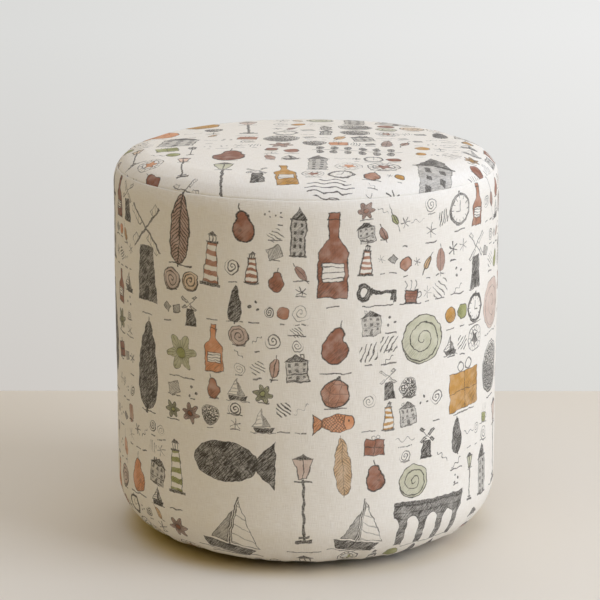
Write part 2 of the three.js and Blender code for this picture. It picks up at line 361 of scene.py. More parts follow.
def turned(name, outline, finish, steps=144, closed=False, sway=None):
    """A solid turned about the axis from an outline that starts and ends on it, or closes."""
    rings = [p for p in outline if closed or p[0] > 0]
    points = []
    for r, z in rings:
        points += [on_circle(r + (sway(r, a, z) if sway else 0), a, z) for a in turns(steps)]
    faces = round_faces(len(rings), steps)
    last = (len(rings) - 1) * steps
    if closed:
        faces += [(last + k, last + (k + 1) % steps, (k + 1) % steps, k) for k in range(steps)]
    else:
        for ring, end, turn in ((0, outline[0], -1), (last, outline[-1], 1)):
            points.append((0, 0, end[1]))
            faces += fan(ring, steps, len(points) - 1, turn)
    return new_piece(name, points, faces, finish)


def pad_foam():
    """Open-celled foam, cream going to yellow where light has reached it, with fine pores."""
    finish, start = new_finish("upholstery foam", 0.95)
    place = place_in(start)
    pores = place.node("ShaderNodeTexVoronoi", {"Vector": place, "Scale": 900.0})
    age = blots(place, 14, 3)
    colour = (age * 0.7 + pores * 0.4).between(shade(238, 226, 182), shade(214, 192, 130))
    return lay_on(finish, colour, pores, 0.0006)


def fleece():
    """Polyester wadding: white, loose crimped fibres in soft clumps."""
    finish, start = new_finish("polyester wadding", 1.0, sheen=0.3)
    place = place_in(start)
    clumps = blots(place, 45, 5, 0.7)
    fibre = blots(stretched(place, 300, 1500, 700), 1, 3, 0.7)
    colour = (clumps * 0.6 + fibre * 0.3).between(shade(246, 246, 242), shade(214, 214, 208))
    return lay_on(finish, colour, clumps * 2 + fibre, 0.0012)


def soft_sway(amount, size):
    """A hand-cut unevenness of a few tenths of a millimetre, the same on each run."""
    def sway(r, a, z):
        return amount * noise.noise(on_circle(r, a, z) / size)
    return sway


def stand_for(piece, node):
    """The piece takes the place of a node of the frame, on the one body."""
    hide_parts(node)
    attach(piece, "root")


def padding(name, node, slot, finish, outline, **how):
    """A pad of the stuffing, with its outline given from the top down."""
    pad = turned(name, outline[::-1], finish, **how)
    stand_for(pad, node)


PADDING = 0.006
SEAM_ROOM = 0.0012
SEAT_BOARD_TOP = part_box("seat_board")[1].z
SEAT_FOAM_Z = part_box("seat_foam")[0].z
SHELL_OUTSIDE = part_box("frame_shell")[1].x + GAP
WADDING_OUT = CLOTH + GAP
WADDING_IN = WADDING_OUT + PADDING
FOAM_OUT = WADDING_IN + GAP
WADDING_TOP = SHOULDER_Z - GAP / 2

foam = pad_foam()
wadding = fleece()

seat_outline = [
    *crown_line(FOAM_OUT),
    *shoulder_line(FOAM_OUT),
    (RADIUS - FOAM_OUT, SEAT_FOAM_Z),
    (0, SEAT_FOAM_Z),
]
padding("seat_pad", "seat_foam", "foam", foam, seat_outline)

side_outline = [
    (SHELL_OUTSIDE, SEAT_BOARD_TOP),
    (RADIUS - FOAM_OUT, SEAT_BOARD_TOP),
    *from_radius(SHELL_OUTSIDE, bottom_line(FOAM_OUT)),
]
cut_by_hand = soft_sway(-0.0002, 0.05)
padding("side_pad", "side_foam", "foam", foam, side_outline, closed=True, sway=cut_by_hand)

side_fleece_outline = [
    (RADIUS - WADDING_OUT, WADDING_TOP),
    *from_radius(SHELL_OUTSIDE, bottom_line(WADDING_OUT)),
    *from_radius(SHELL_OUTSIDE, bottom_line(WADDING_IN))[::-1],
    (RADIUS - WADDING_IN, WADDING_TOP),
]
padding("side_fleece", "side_wadding", "wadding", wadding, side_fleece_outline, closed=True)

top_fleece_outline = [
    *crown_line(WADDING_OUT),
    *shoulder_line(WADDING_OUT + SEAM_ROOM),
    *shoulder_line(WADDING_IN)[::-1],
    *crown_line(WADDING_IN)[::-1],
]
padding("top_fleece", "top_wadding", "wadding", wadding, top_fleece_outline)


# The cover is sewn from printed cotton-linen: a round top panel, and a band in two halves. It is
# drawn tight over the wadding, and the band is turned in under the base and stapled there.

# The print's layout, in millimetres and square millimetres of the flat cloth.
BLOCK_WIDTH = 216.0
BLOCK_HEIGHT = 236.0
BLOCK_SHIFT = 83.0
SMALL_PLACE = 330.0
MIDDLING_PLACE = 1400.0
LARGE_PLACE = 8600.0
LARGE_CHANCE = 0.26
HALVINGS = 7

# The drawings are numbered in the order they come in below: the tall ones from 0, then the wide,
# the square and the little ones from these numbers on. KINDS is how many there are.
WIDE_FROM = 7
SQUARE_FROM = 12
LITTLE_FROM = 23
KINDS = 31

# In millimetres: half the narrower side of a little place, half the width from which a wide
# drawing stays grey, and how far ink fades at an edge. A place that is LONG times longer than it
# is broad takes a tall or a wide drawing.
LITTLE = 10.5
BROAD = 34
FADE = 0.55
LONG = 1.42


def chances(column, row, place, salt):
    """Three even chances that belong to one place of the print."""
    where = column.node("ShaderNodeCombineXYZ", {0: column, 1: row, 2: place})
    feeds = {0: where, 1: salt}
    drawn = where.node("ShaderNodeTexWhiteNoise", feeds, 1, noise_dimensions="4D")
    first = drawn.node("ShaderNodeSeparateColor", {0: drawn})
    return first, first.other(1), first.other(2)


def print_layout(u, v):
    """Halves each block of the cloth unevenly, again and again, into places for one drawing each.
    Gives the way from the place's corner, the place's size, and what numbers the place."""
    row = (v / BLOCK_HEIGHT).floor()
    shifted = u.plus(row, BLOCK_SHIFT)
    column = (shifted / BLOCK_WIDTH).floor()
    x = shifted.plus(column, -BLOCK_WIDTH)
    y = v.plus(row, -BLOCK_HEIGHT)
    width = row * 0 + BLOCK_WIDTH
    height = row * 0 + BLOCK_HEIGHT
    place = row * 0 + 1
    split = place
    for halving in range(HALVINGS):
        where, slant, size = chances(column, row, place, float(halving))
        upright = height > width * (slant * 1.3 + 0.85)
        enough = size * (MIDDLING_PLACE - SMALL_PLACE) + SMALL_PLACE
        enough = enough.plus(size > 1 - LARGE_CHANCE, LARGE_PLACE - MIDDLING_PLACE)
        split = (width * height > enough) * split
        length = width.plus(upright, height - width)
        along = x.plus(upright, y - x)
        cut = (where * 0.2 + 0.4) * length
        beyond = (along > cut) * split
        shorter = (cut - length).plus(beyond, length - cut * 2) * split
        step = beyond * cut * -1
        level = 1 - upright
        width = width.plus(level, shorter)
        height = height.plus(upright, shorter)
        x = x.plus(level, step)
        y = y.plus(upright, step)
        place = beyond.plus(place, 2)
    return x, y, width, height, (column, row, place)


def oblong(x, y, middle_x, middle_y, half_width, half_height):
    """How far a point is outside an upright oblong."""
    return (abs(x - middle_x) - half_width).high(abs(y - middle_y) - half_height)


def round_of(x, y, middle_x, middle_y, radius):
    """How far a point is outside a circle."""
    across = x - middle_x
    up = y - middle_y
    return (across * across).plus(up, up).root() - radius


class Sketch:
    """One drawing's pen and brush. Shapes come as the way outside them, in parts of the drawing."""

    def __init__(self, x, y, fade, pen, kind):
        self.x = x
        self.y = y
        self.beside = abs(x)
        self.above = abs(y)
        self.fade = fade
        self.pen = pen
        self.kind = kind
        self.number = 0
        self.inked = kind * 0
        self.washed = kind * 0
        self.tinted = kind * 0

    def block(self, height, half_width, half_height):
        """How far a point is outside an oblong that stands in the middle, at a height."""
        return (self.beside - half_width).high(abs(self.y - height) - half_height)

    def line(self, *outside):
        """A pen line along the edge of each shape."""
        edges = [abs(way) for way in outside]
        return self.pen.plus(self.fade, edges[0].low(*edges[1:]))

    def stroke(self, *outside):
        """A pen line where all of several ways outside are small."""
        return self.pen.plus(self.fade, outside[0].high(*outside[1:]))

    def solid(self, outside):
        """Ink or wash all over a shape."""
        return self.fade.sum("MULTIPLY_ADD", outside, 0.5)

    def add(self, inked, washed=None, tinted=0.0):
        """Draws the next drawing where the place has its number."""
        chosen = self.kind.near(self.number)
        self.number += 1
        self.inked = self.inked.plus(chosen, inked)
        if washed:
            self.washed = self.washed.plus(chosen, washed)
        if tinted:
            self.tinted = self.tinted.plus(chosen, tinted)


def tall_drawings(s):
    x, y, beside = s.x, s.y, s.beside

    # lighthouse
    tower = (beside - 0.2 + y * 0.08).high(abs(y + 0.12) - 0.7)
    bands = (y + 0.12).fold(0.175) - 0.0875
    lamp = s.block(0.72, 0.095, 0.1)
    cap = (beside * 0.9 + y - 0.98).high(0.83 - y)
    rails = s.block(0.6, 0.2, 0.03).low(s.block(-0.88, 0.36, 0.05))
    ink = s.line(tower, lamp).high(s.solid(rails.low(cap)), s.stroke(beside, lamp))
    s.add(ink, s.solid(tower.high(bands)), 0.35)

    # cypress
    leafy = beside - (1 - y * y * 1.15).root() * (0.27 - y * 0.12)
    streaks = (x + (y * 3).sin() * 0.04).fold(0.05) - 0.012
    stem = s.block(-0.95, 0.03, 0.1)
    ink = s.line(leafy).high(s.solid(stem), s.solid(streaks.high(leafy)).held() * 0.7)
    s.add(ink, s.solid(leafy))

    # bottle
    shoulder = ((y - 0.02) * 2.5).held()
    glass = (beside - 0.3 + shoulder * shoulder * (0.6 - shoulder * 0.4)).high(s.above - 0.92)
    label = s.block(-0.36, 0.22, 0.2)
    rules = s.stroke((y + 0.36).fold(0.06), label)
    neck = s.stroke(abs(y - 0.78), beside - 0.12)
    s.add(s.line(glass, label).high(neck, rules), s.solid(glass.high(-label)), 1.0)

    # street lamp
    foot = s.block(-0.93, 0.17, 0.045).low(s.block(-0.82, 0.1, 0.03))
    pole = s.block(-0.28, 0.025, 0.66).low(foot, s.block(0.34, 0.16, 0.018))
    hood = (beside * 0.7 + y - 0.93).high(0.8 - y)
    lantern = (beside - y * 0.28 + 0.042).high(abs(y - 0.6) - 0.2)
    ink = s.solid(pole.low(hood)).high(s.line(lantern), s.stroke(beside, lantern))
    s.add(ink, s.solid(lantern).held() * 0.5, 0.6)

    # bell tower
    shaft = s.block(-0.24, 0.25, 0.72)
    spire = (beside * 1.9 + y - 0.98).high(0.46 - y)
    slits = (abs(beside - 0.11) - 0.045).high((y + 0.3).fold(0.14) - 0.075, shaft)
    ledges = s.block(0.47, 0.31, 0.03).low(s.block(-0.95, 0.31, 0.03))
    ink = s.line(shaft, spire).high(s.solid(ledges.low(slits)))
    s.add(ink, s.solid(spire).high(s.solid(shaft).held() * 0.5))

    # feather
    vane = beside - (1 - y * y * 1.1).root() * (0.24 - y * 0.048)
    barbs = y.plus(beside, 1.3).fold(0.055)
    ink = s.line(vane).high(s.stroke(beside, s.above - 1), s.stroke(barbs, vane))
    s.add(ink, s.solid(vane).held() * 0.7, 0.5)

    # windmill
    mill = (beside - 0.19 + y * 0.1).high(abs(y + 0.42) - 0.5)
    a = (x + y - 0.42) * 0.7071
    b = (x - y + 0.42) * 0.7071
    arms = (abs(a).low(abs(b)) - 0.018).high(abs(a).high(abs(b)) - 0.55)
    leaves = (abs(a - 0.06) - 0.055).high(0.31 - abs(b + 0.02), abs(b) - 0.52)
    leaves = leaves.low((abs(b - 0.06) - 0.055).high(abs(abs(a) - 0.33) - 0.19))
    slats = s.stroke((a + b).fold(0.05), leaves).held() * 0.7
    door = s.block(-0.78, 0.06, 0.13)
    s.add(s.line(mill, leaves).high(s.solid(arms.low(door)), slats), s.solid(mill))


def wide_drawings(s):
    x, y, beside = s.x, s.y, s.beside

    # viaduct
    bay = x.fold(0.25)
    opening = ((bay * bay).plus(y, y).root() - 0.17).low((bay - 0.17).high(y))
    arches = (beside - 0.96).high(abs(y + 0.02) - 0.4, -opening)
    parapet = s.block(0.4, 0.99, 0.035)
    ink = s.line(arches).high(s.stroke(y.fold(0.06), arches).held() * 0.8, s.solid(parapet))
    s.add(ink, s.solid(arches).held() * 0.9)

    # fish
    body = ((x + 0.12) * (x + 0.12) + y * y * 4.4).root() - 0.7
    tail = (s.above - x * 0.75 + 0.315).high(x - 0.93, 0.52 - x)
    scales = (x + y).fold(0.07).low((x - y).fold(0.07))
    gill = s.stroke(abs(x + y * y * 1.5 + 0.36), body)
    eye = s.solid(round_of(x, y, -0.58, 0.05, 0.035))
    ink = s.line(body, tail).high(s.stroke(scales, body, -0.35 - x).held() * 0.8, eye, gill)
    s.add(ink, s.solid(body.low(tail)), 1.0)

    # key
    bow = abs(round_of(x, y, -0.66, 0, 0.22)) - 0.06
    stem = oblong(x, y, 0.2, 0, 0.68, 0.035)
    bits = oblong(x, y, 0.66, -0.13, 0.045, 0.13).low(oblong(x, y, 0.81, -0.16, 0.045, 0.16))
    key = bow.low(stem, bits, oblong(x, y, -0.34, 0, 0.03, 0.09))
    s.add(s.line(key), s.solid(key))

    # sprig
    stem = abs(y - (x * 2.6).sin() * 0.07)
    along = (x + 0.1).fold(0.15)
    out = stem - 0.19
    leaves = ((along * along * 5.5).plus(out * 1.6, out).root() - 0.19).high(beside - 0.86)
    ink = s.stroke(stem, beside - 0.95).high(s.line(leaves), s.stroke(along, leaves))
    s.add(ink, s.solid(leaves).held() * 0.8, 0.8)

    # ripples
    ripples = (y + (x * 9).sin() * 0.045).fold(0.1)
    s.add(s.stroke(ripples, (x * x + y * y * 3.4).root() - 0.85))


def square_drawings(s, radius, angle, grain):
    x, y, beside = s.x, s.y, s.beside

    # town house
    front = s.block(-0.22, 0.72, 0.7)
    roof = (beside * 0.62 + y - 0.95).high(0.48 - y)
    panes = (x.fold(0.24) - 0.1).high((y + 0.16).fold(0.21) - 0.11, front + 0.06, -0.62 - y)
    door = oblong(x, y, 0.02, -0.77, 0.12, 0.17)
    floors = s.stroke((y + 0.37).fold(0.42), front)
    chimney = oblong(x, y, 0.42, 0.86, 0.09, 0.12)
    ink = s.line(front, roof, chimney).high(s.solid(panes.low(door)).held() * 0.85, floors)
    s.add(ink, s.solid(roof).high(s.solid(front).held() * 0.35))

    # orange
    ball = (x * x * 1.12 + y * y).root() - 0.74
    ribs = s.stroke(abs((x * x * 6 + y * y).root() - 0.74), ball).held() * 0.8
    crown = (beside * 1.4 + y * 0.5 - 0.55).high(abs(y - 0.86) - 0.12)
    rings = s.stroke((y * 0.8 - x * x * 0.35).fold(0.2), ball).held() * 0.45
    s.add((s.line(ball) + 0.4).high(ribs, s.solid(crown), rings), s.solid(ball), 1.0)

    # round seal with a star
    rim = abs(radius - 0.72) - 0.15
    spokes = (angle * (7 / pi)).fold(0.5) * radius * 0.4
    star = radius * ((angle * 5).sin() * 0.28 + 1) - 0.34
    s.add(s.line(rim, star).high(s.stroke(spokes, rim).held() * 0.7), s.solid(star), 0.5)

    # speckled disc with a curve over it
    disc = radius - 0.8
    flecks = s.solid(((0.47 - grain) * 0.7).high(disc + 0.06))
    curve = y - x * 0.7
    ink = s.line(disc).high(flecks, s.stroke(abs(curve - (x * 3).sin() * 0.15), disc))
    s.add(ink, s.solid(disc.high(curve)).held() * 0.5)

    # snail shell
    coil = abs((radius * 3.2 - angle * (0.5 / pi)).frac() - 0.5) * 0.3
    s.add(s.stroke(coil, disc).high(s.line(disc)), s.solid(disc).held() * 0.5, 0.6)

    # parcel
    parcel = s.block(-0.15, 0.74, 0.58)
    bow = abs(round_of(beside, y, 0.2, 0.6, 0.15)) - 0.02
    ribbon = s.stroke(beside.low(abs(y + 0.15)), parcel)
    s.add(s.line(parcel).high(ribbon, s.solid(bow)), s.solid(parcel), 0.9)

    # flower
    bloom = radius - 0.6 - (angle * 6).sin() * 0.16
    rays = (angle * (12 / pi)).fold(0.5) * radius * 0.22
    heart = radius - 0.22
    ink = s.line(bloom, heart).high(s.stroke(rays, bloom, -heart).held() * 0.7)
    s.add(ink, s.solid(heart).high(s.solid(bloom).held() * 0.7), 0.8)

    # sailing boat
    hull = (beside - y * 0.5 - 0.96).high(abs(y + 0.66) - 0.15)
    sail = (0.05 - x).high(x * 1.15 + y * 0.75 - 0.62, -0.42 - y)
    jib = (x + 0.05).high(y * 0.75 - x * 1.5 - 0.42, -0.42 - y)
    mast = s.block(0.16, 0.018, 0.68)
    sea = s.stroke(abs(y + (x * 12).sin() * 0.03 + 0.88), beside - 0.9)
    battens = s.stroke((y + x * 0.2 + 0.1).fold(0.12), sail).held() * 0.6
    ink = s.line(hull, sail, jib).high(s.solid(mast), sea, battens)
    s.add(ink, s.solid(hull).high(s.solid(jib).held() * 0.6))

    # clock dial, with strokes for the hours
    rim = abs(radius - 0.75) - 0.05
    hours = ((angle * (6 / pi)).fold(0.5) * radius * 0.5 - 0.02).high(abs(radius - 0.6) - 0.07)
    hands = oblong(x, y, 0, 0.2, 0.03, 0.24).low(oblong(x + y * 0.3, y, 0.12, -0.06, 0.16, 0.03))
    ring = round_of(x, y, 0, 0.88, 0.06)
    s.add(s.line(rim).high(s.solid(hours.low(hands, ring))), s.solid(rim).held() * 0.8)

    # cup
    cup = (beside - y * 0.12 - 0.5).high(abs(y + 0.32) - 0.42)
    ear = (abs(round_of(x, y, 0.58, -0.25, 0.2)) - 0.035).high(0.5 - x)
    steam = s.stroke((x + (y * 8).sin() * 0.07).fold(0.2), abs(y - 0.5) - 0.3, beside - 0.45)
    saucer = s.block(-0.82, 0.85, 0.04)
    hoops = s.stroke((y + 0.32).fold(0.12), cup).held() * 0.5
    s.add(s.line(cup).high(s.solid(ear.low(saucer)), steam.held() * 0.7, hoops), s.solid(cup), 0.9)

    # pear
    lower = round_of(x, y, 0, -0.28, 0.5)
    upper = round_of(x, y, 0.05, 0.35, 0.24)
    pear = lower.low(upper, (beside + y * 0.32 - 0.356).high(abs(y - 0.08) - 0.32))
    stalk = s.stroke(abs(x - y * 0.1 - 0.05), abs(y - 0.72) - 0.16)
    bruise = s.solid(round_of(x, y, 0.17, -0.3, 0.09)).held() * 0.4
    s.add((s.line(pear) + 0.3).high(stalk, bruise), s.solid(pear), 1.0)
    return coil


def little_drawings(s, radius, angle, coil):
    x, y, beside = s.x, s.y, s.beside
    s.add(s.stroke((x + y * 0.6).fold(0.24), s.above - 0.7, beside - 0.8) + 0.3)
    s.add(s.line(radius - 0.78), s.solid(radius - 0.78), 1.0)
    s.add(s.stroke((angle * (3 / pi)).fold(0.5) * radius, radius - 0.7))
    leaf = beside - (1 - y * y * 1.2).root() * 0.42
    s.add(s.line(leaf).high(s.stroke(beside, s.above - 0.95)), s.solid(leaf).held() * 0.8, 0.8)
    s.add(s.solid(round_of(beside, y, 0.4, -0.25, 0.14).low(round_of(x, y, 0, 0.4, 0.14))))
    s.add(s.stroke(abs(y + (x * 7).sin() * 0.16), beside - 0.85))
    patch = (beside - 0.6).high(s.above - 0.5)
    ink = s.line(patch).high(s.stroke((x + y).fold(0.13), patch).held() * 0.8)
    s.add(ink, s.solid(patch).held() * 0.4)
    s.add(s.stroke(coil, radius - 0.7))


def printed_cloth():
    """Plain weave in natural off-white, screen printed in grey ink and a few earthy tints."""
    finish, start = new_finish("printed cotton-linen", 0.88, sheen=0.12)
    cloth_place = start.node("ShaderNodeUVMap", uv_map="Cloth")
    u, v, _ = parts_of(cloth_place)
    x, y, width, height, place = print_layout(u, v)
    kind, tilt, weight = chances(*place, 20.0)
    tint, flip, hue = chances(*place, 31.0)
    half_width = width * 0.5
    half_height = height * 0.5

    little = half_width.low(half_height) < LITTLE
    tall = (half_height > half_width * LONG) * (1 - little)
    wide = (half_width > half_height * LONG) * (1 - little)
    square = 1 - little - tall - wide
    unit = half_width.plus(half_width, tall * 1.14).low(half_height.plus(half_height, wide * 1.14))
    unit = unit * (square * 0.12 + little * 0.26 + 0.98)
    kinds = tall * WIDE_FROM + wide * (SQUARE_FROM - WIDE_FROM)
    kinds = kinds + square * (LITTLE_FROM - SQUARE_FROM) + little * (KINDS - LITTLE_FROM)
    first = wide * WIDE_FROM + square * SQUARE_FROM + little * LITTLE_FROM
    kind = (kind * kinds).floor() + first

    # The hand wobbles, leans each drawing a little, and turns half of them about.
    sway = blots(cloth_place, 1 / 11, 2, 0.5, out=1)
    sway_x, sway_y, blot = parts_of(sway)
    grain = blots(cloth_place, 1 / 1.6, 2)
    lean = (tilt - 0.5) * (little * 1.6 + square * 0.3 + 0.16)
    from_x = x - half_width + (sway_x - 0.5) * 6
    from_y = y - half_height + (sway_y - 0.5) * 6
    side = (flip > 0.5) * 2 - 1
    broader = (half_width / unit * 2.1 - 0.9).held() * tall * 0.7 + 1
    taller = (half_height / unit * 2.1 - 0.9).held() * wide * 0.6 + 1
    across = from_x.plus(lean, from_y) * side / (unit * broader)
    up = (from_y - lean * from_x) / (unit * taller)
    pen = (blot - 0.5) * 1.8 + weight * 0.7 + 1.0
    radius = (across * across).plus(up, up).root()
    angle = up.turn(across)

    # Thin rules, whole or dashed, run in some of the gaps below the drawings.
    below = abs(y - 2.6 + (sway_y - 0.5) * 6).high(abs(from_x) - half_width * (flip * 0.5 + 0.25))
    dashes = x.fold(3.1) - 1.7 - weight * 4
    rules = (1.5 - below.high(dashes) * 1.7).held() * ((hue * 7).frac() > 0.25)

    sketch = Sketch(across, up, unit * (-1 / FADE), pen, kind)
    tall_drawings(sketch)
    wide_drawings(sketch)
    coil = square_drawings(sketch, radius, angle, grain)
    little_drawings(sketch, radius, angle, coil)

    # Ink takes unevenly on the weave. Some drawings are tinted in place of the grey wash, and most
    # are hatched with a fine pen on the side away from the light.
    tinted = sketch.tinted > (unit > BROAD) * wide + tint * 0.62
    washed = sketch.washed.held()
    speckle = ((grain - 0.42) * 6).held()
    slanting = u.node("ShaderNodeCombineXYZ", {0: (u + v) * 0.07, 1: (u - v) * 0.75, 2: 0})
    hatch = ((blots(slanting, 1, 1) - 0.46) * 9).held()
    shaded = (across * 0.45 - up * 0.35 + blot * 1.2 - 0.35).held() * hatch * washed
    taken = speckle * 0.22 + hatch * 0.35 + 0.6
    grey = washed * (1 - tinted) * taken * ((blot - 0.5) * 0.9 + 0.97)
    paint = washed * tinted * ((blot - 0.5) * 0.7 + 0.95)
    inked = sketch.inked.high(rules, shaded * 0.9).held()
    inked = inked * (weight * 0.15 + 0.85) * (speckle * 0.3 + 0.77)
    stops = [
        (0.0, shade(158, 106, 82)),
        (0.2, shade(198, 148, 74)),
        (0.4, shade(160, 162, 104)),
        (0.56, shade(146, 92, 68)),
        (0.76, shade(217, 152, 108)),
        (0.88, shade(180, 130, 104)),
    ]
    tint_colour = hue.node("ShaderNodeValToRGB", {0: hue}, ramp="CONSTANT", stops=stops)
    slub_across = blots(stretched(cloth_place, 1 / 9, 1 / 0.55, 1), 1, 1)
    slub_down = blots(stretched(cloth_place, 1 / 0.55, 1 / 9, 1), 1, 1)
    weave = slub_across + slub_down
    ground = (weave - 0.5).held().between(shade(228, 221, 209), shade(247, 243, 235))
    ink_colour = shade(67, 62, 55)
    colour = grey.held().between(ground, ink_colour)
    colour = paint.held().between(colour, tint_colour)
    colour = inked.held().between(colour, ink_colour)
    return lay_on(finish, colour, weave, 0.00022)


cloth = printed_cloth()
SEAM_PROUD = 0.0002
SEAM_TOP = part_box("cover_front")[1].z + SEAM_PROUD
SEAM_ANGLE = asin((SEAM_TOP - SHOULDER_Z) / SHOULDER_ROUNDING)
HEM = 0.02
SEAM_RISE = 0.0007
SEAM_WIDTH = 0.007
STITCH_DIP = 0.0004
STITCH_WIDTH = 0.001
PUCKER_RISE = 0.0003
PUCKER_REACH = 0.013
SWELL_RISE = 0.0007
SMALL_SWELL_RISE = 0.0002
GATHER_RISE = 0.0011
GATHERED_ABOVE = 0.012
STAPLED_FLAT = 0.085
COLUMNS = 216
BAKE_MARGIN = 0.004


def within(value, least=0):
    """Keeps a value between the least and 1."""
    return min(1, max(least, value))


def seam_lift(distance, rise=SEAM_RISE):
    """The allowances folded back inside raise the cloth to an edge, and the stitches sink in it."""
    edge = rise * exp(-abs(distance) / SEAM_WIDTH)
    return edge - STITCH_DIP * exp(-((distance / STITCH_WIDTH) ** 2))


def puckers(around, distance):
    """Short ripples that run away from the seam, where the curved edges were eased together."""
    ripple = noise.noise(around * 15 + Vector((0, 0, distance * 9)))
    return PUCKER_RISE * ripple * exp(-abs(distance) / PUCKER_REACH)


def swells(around, height):
    """The wadding is never quite even, so the tight cloth has low swells."""
    place = around * 2.1 + Vector((0, 0, height * 10))
    return SWELL_RISE * noise.noise(place) + SMALL_SWELL_RISE * noise.noise(place * 3.1)


def gathers(around, below):
    """Where the band turns in below, its spare width is worked into small soft pleats."""
    fade = within((below + GATHERED_ABOVE) / 0.05)
    pleat = noise.noise(around * 7.5 + Vector((3.1, 0, 0))) + 0.6 * noise.noise(around * 19)
    return GATHER_RISE * pleat * fade * fade


# Where the pull under the base leaves a short fold: its angle, how far below the wall it lies,
# its half length, how it slopes, and how high it stands.
FOLDS = [
    (328.5, 0.0495, 0.0110, -0.19, 0.00060),
    (305.5, 0.0590, 0.0075, -0.10, 0.00050),
    (299.5, 0.0605, 0.0028, 0.50, 0.00050),
    (276.0, 0.0560, 0.0090, 0.16, 0.00030),
    (241.0, 0.0540, 0.0120, 0.22, 0.00045),
    (214.0, 0.0500, 0.0080, -0.25, 0.00050),
    (186.0, 0.0520, 0.0090, 0.12, 0.00040),
    (152.0, 0.0470, 0.0120, -0.18, 0.00055),
    (118.0, 0.0560, 0.0085, 0.24, 0.00045),
    (84.0, 0.0510, 0.0105, -0.15, 0.00050),
    (47.0, 0.0550, 0.0080, 0.20, 0.00040),
    (16.0, 0.0480, 0.0115, -0.22, 0.00050),
]
FOLD_RADIUS = 0.18
FOLD_WIDTH = 0.0012
VALLEY_BELOW = 0.0024
VALLEY_WIDTH = 0.0014
FOLD_REACH = 0.006


def folds(angle, below):
    """Each fold is a low ridge with a shallow valley under it."""
    lift = 0
    for fold_angle, fold_below, length, slope, height in FOLDS:
        along = remainder(angle - radians(fold_angle), 2 * pi) * FOLD_RADIUS
        across = below - fold_below - slope * along
        if abs(along) < 2.5 * length and abs(across) < FOLD_REACH:
            ridge = exp(-((across / FOLD_WIDTH) ** 2))
            valley = exp(-(((across - VALLEY_BELOW) / VALLEY_WIDTH) ** 2))
            lift += height * (ridge - 0.8 * valley) * exp(-((along / length) ** 2))
    return lift


# The band's way down the cloth: from the seam over the shoulder, down the wall, round the bottom,
# and in under the base to the hem. Rows lie close together at the seam.
NEAR_SEAM = [0.0007, 0.0014, 0.0022, 0.0031, 0.0041, 0.0054, 0.007, 0.009, 0.0115, 0.0145]
BAND_SHOULDER = SHOULDER_ROUNDING * SEAM_ANGLE
BAND_BOTTOM = BAND_SHOULDER + SHOULDER_Z - BOTTOM_Z
BAND_UNDER = BAND_BOTTOM + BOTTOM_ROUNDING * pi / 2
BAND_DEPTH = BAND_UNDER + HEM


def even(start, end, steps):
    return [start + (end - start) * i / steps for i in range(1, steps + 1)]


def on_rounding(centre_r, centre_z, radius, angle):
    """The point on a rounding at an angle, and the direction out of the cloth there."""
    out = (cos(angle), sin(angle))
    return centre_r + radius * out[0], centre_z + radius * out[1], *out


def band_point(s):
    """The point at a way down the band, and the direction out of the cloth there."""
    if s <= BAND_SHOULDER:
        angle = SEAM_ANGLE - s / SHOULDER_ROUNDING
        return on_rounding(SHOULDER_R, SHOULDER_Z, SHOULDER_ROUNDING, angle)
    if s <= BAND_BOTTOM:
        return RADIUS, SHOULDER_Z - (s - BAND_SHOULDER), 1, 0
    if s <= BAND_UNDER:
        return on_rounding(BOTTOM_R, BOTTOM_Z, BOTTOM_ROUNDING, -(s - BAND_BOTTOM) / BOTTOM_ROUNDING)
    return BOTTOM_R - (s - BAND_UNDER), UNDERSIDE, 0, -1


CROWN_REACH = CROWN_RADIUS * CROWN_ANGLE
TOP_REACH = CROWN_REACH + SHOULDER_ROUNDING * (SHOULDER_END - SEAM_ANGLE)


def top_point(s):
    """The point at a way out from the middle of the top, and the direction out of the cloth."""
    if s <= CROWN_REACH:
        return on_rounding(0, TOP - CROWN_RADIUS, CROWN_RADIUS, pi / 2 - s / CROWN_RADIUS)
    angle = SHOULDER_END - (s - CROWN_REACH) / SHOULDER_ROUNDING
    return on_rounding(SHOULDER_R, SHOULDER_Z, SHOULDER_ROUNDING, angle)


# The band is pulled over with a little fullness, most of all where it turns in below. A net of it
# settles as cloth over the wadding, held by the seam above and by the staples at the hem.
NET_COLUMNS = 180
NET_ROWS = 62
EASE = 1.002
FULLNESS = 0.04
FARTHEST = 0.0012
SETTLING = 20


def drawn_on(angle, s):
    """How the band stands as it is pulled over: low swells, and its spare width gathered below."""
    around = on_circle(1, angle)
    return swells(around, SEAM_TOP - s) + gathers(around, s - BAND_BOTTOM)


def settle(net, as_cut, held):
    """Lets a net settle as light cloth under the wadding's push. Gives where its points then lie."""
    net.shape_key_add(name="drawn on")
    full = net.shape_key_add(name="as cut")
    for k, place in enumerate(as_cut):
        full.data[k].co = place
    net.vertex_groups.new(name="held").add(held, 1.0, "REPLACE")
    settling = net.modifiers.new("settling", "CLOTH")
    light = settling.settings
    light.rest_shape_key = full
    light.vertex_group_mass = "held"
    light.quality = 5
    light.mass = 0.04
    light.tension_stiffness = 15
    light.compression_stiffness = 15
    light.shear_stiffness = 5
    light.bending_stiffness = 0.05
    light.use_pressure = True
    light.uniform_pressure_force = 1
    light.effector_weights.gravity = 0
    settling.point_cache.frame_end = SETTLING
    for step in range(1, SETTLING + 1):
        scene.frame_set(step)
    lying = net.evaluated_get(bpy.context.evaluated_depsgraph_get())
    places = [v.co.copy() for v in lying.data.vertices]
    scene.frame_set(1)
    bpy.data.objects.remove(net)
    return places


